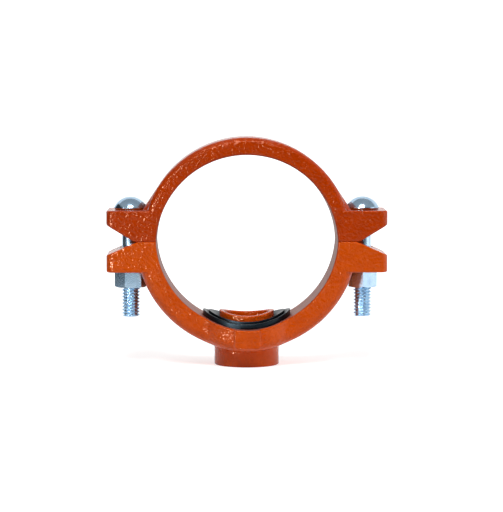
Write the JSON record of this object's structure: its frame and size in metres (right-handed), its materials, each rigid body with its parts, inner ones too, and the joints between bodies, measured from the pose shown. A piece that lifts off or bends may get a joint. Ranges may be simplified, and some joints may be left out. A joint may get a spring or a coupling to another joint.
{
  "type": "mechanical tee",
  "caption": "Bolted saddle tee: strap and outlet castings clamp round a run pipe, with a gasketed collar and a threaded branch outlet.",
  "frame": {"origin": "where the run pipe's axis (the outlet casting's bore axis) crosses the outlet's axis", "axes": "+X across the bolt ears, +Y along the run pipe, +Z away from the outlet, which points along -Z"},
  "size_m": [0.1778, 0.0688, 0.1455],
  "materials": {
    "painted_casting": "gloss orange enamel over a sand-cast surface",
    "gasket_rubber": "moulded black rubber, slight sheen",
    "zinc_plated_steel": "bright bluish zinc plating"
  },
  "bodies": {
    "outlet_half": {"lower_housing": "painted_casting", "gasket": "gasket_rubber"},
    "strap_half": {"upper_housing": "painted_casting", "bolt_left": "zinc_plated_steel", "bolt_right": "zinc_plated_steel"},
    "nut_left": {"nut_left": "zinc_plated_steel"},
    "nut_right": {"nut_right": "zinc_plated_steel"}
  },
  "joints": [
    {"name": "strap_lift", "type": "slide", "parent": "outlet_half", "child": "strap_half", "axis": [0, 0, 1], "range_m": [0, 0.0175]},
    {"name": "nut_left_spin", "type": "hinge", "parent": "outlet_half", "child": "nut_left", "pos_m": [-0.074, 0, -0.02765], "axis": [0, 0, -1], "range_deg": [0, 3602]},
    {"name": "nut_right_spin", "type": "hinge", "parent": "outlet_half", "child": "nut_right", "pos_m": [0.074, 0, -0.02765], "axis": [0, 0, -1], "range_deg": [0, 3602]}
  ],
  "couplings": [
    {"joint": "nut_left_spin", "follows": "strap_lift", "rad_per_m": 3590.4},
    {"joint": "nut_right_spin", "follows": "strap_lift", "rad_per_m": 3590.4}
  ]
}
